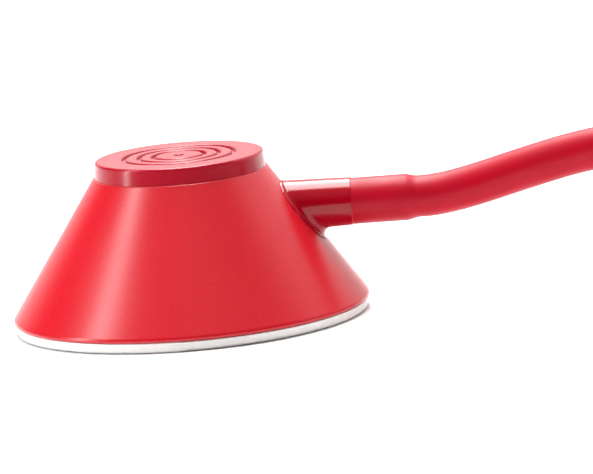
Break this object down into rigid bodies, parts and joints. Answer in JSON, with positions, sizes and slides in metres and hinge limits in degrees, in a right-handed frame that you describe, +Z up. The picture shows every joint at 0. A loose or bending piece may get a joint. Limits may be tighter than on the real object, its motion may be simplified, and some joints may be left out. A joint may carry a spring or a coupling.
{
  "type": "stethoscope",
  "caption": "Single-head stethoscope with a conical chestpiece, a ringed thumb cap, a soft hose put away in a coil, and a sprung two-tube headset.",
  "frame": {"origin": "centre of the diaphragm's face, on the surface that the instrument lies on", "axes": "+Z up through the chestpiece, +X along the stem and towards the headset"},
  "size_m": [0.3967, 0.1237, 0.0256],
  "materials": {
    "red_shell": "satin moulded plastic, strong red",
    "red_cap": "glossy moulded plastic, deep red",
    "white_ring": "glossy white plastic",
    "diaphragm_film": "smooth milky film",
    "seal_rubber": "matt black rubber",
    "inner_plastic": "plain white plastic",
    "red_stem": "high gloss deep red plastic",
    "red_hose": "matt soft red PVC",
    "tie_strap": "white woven strap",
    "spring_steel": "brushed spring steel",
    "ear_tube_metal": "polished chrome plate",
    "clip_metal": "polished chrome plate",
    "rivet_metal": "brushed steel",
    "adapter_metal": "polished chrome plate",
    "ear_tip_rubber": "soft white rubber"
  },
  "bodies": {
    "chestpiece_and_hose": {"chestpiece_shell": "red_shell", "thumb_cap": "red_cap", "diaphragm_ring": "white_ring", "diaphragm": "diaphragm_film", "diaphragm_gasket": "seal_rubber", "chamber_plate": "inner_plastic", "stem": "red_stem", "stem_o_ring": "seal_rubber", "hose_stem_end": "red_hose", "hose_lead": "red_hose", "hose_coil": "red_hose", "coil_tie": "tie_strap", "hose_tail": "red_hose", "hose_yoke_end": "red_hose", "y_connector": "red_stem", "leaf_spring": "spring_steel", "left_branch_hose": "red_hose", "right_branch_hose": "red_hose"},
    "left_tube_assembly": {"left_ear_tube": "ear_tube_metal", "left_spring_clip": "clip_metal", "left_clip_rivet": "rivet_metal", "left_tip_adapter": "adapter_metal"},
    "right_tube_assembly": {"right_ear_tube": "ear_tube_metal", "right_spring_clip": "clip_metal", "right_clip_rivet": "rivet_metal", "right_tip_adapter": "adapter_metal"},
    "left_tip": {"left_ear_tip": "ear_tip_rubber"},
    "right_tip": {"right_ear_tip": "ear_tip_rubber"}
  },
  "joints": [
    {"name": "left_ear_tube_spread", "type": "hinge", "parent": "chestpiece_and_hose", "child": "left_tube_assembly", "pos_m": [0.1977, 0.00096, 0.0043], "axis": [0, 0, 1], "range_deg": [-2, 22], "stiffness_Nm_per_rad": 0.6, "deforming": ["left_branch_hose", "leaf_spring"]},
    {"name": "right_ear_tube_spread", "type": "hinge", "parent": "chestpiece_and_hose", "child": "right_tube_assembly", "pos_m": [0.1977, -0.01496, 0.0043], "axis": [0, 0, 1], "range_deg": [-22, 2], "stiffness_Nm_per_rad": 0.6, "deforming": ["right_branch_hose", "leaf_spring"]},
    {"name": "left_ear_tip_turn", "type": "hinge", "parent": "left_tube_assembly", "child": "left_tip", "pos_m": [0.361, 0.0155, 0.0058], "axis": [0.3824, -0.9178, 0.1071], "continuous": true},
    {"name": "right_ear_tip_turn", "type": "hinge", "parent": "right_tube_assembly", "child": "right_tip", "pos_m": [0.361, -0.0295, 0.0058], "axis": [0.3824, 0.9178, 0.1071], "continuous": true}
  ],
  "couplings": [
    {"joint": "right_ear_tube_spread", "follows": "left_ear_tube_spread", "ratio": -1}
  ]
}
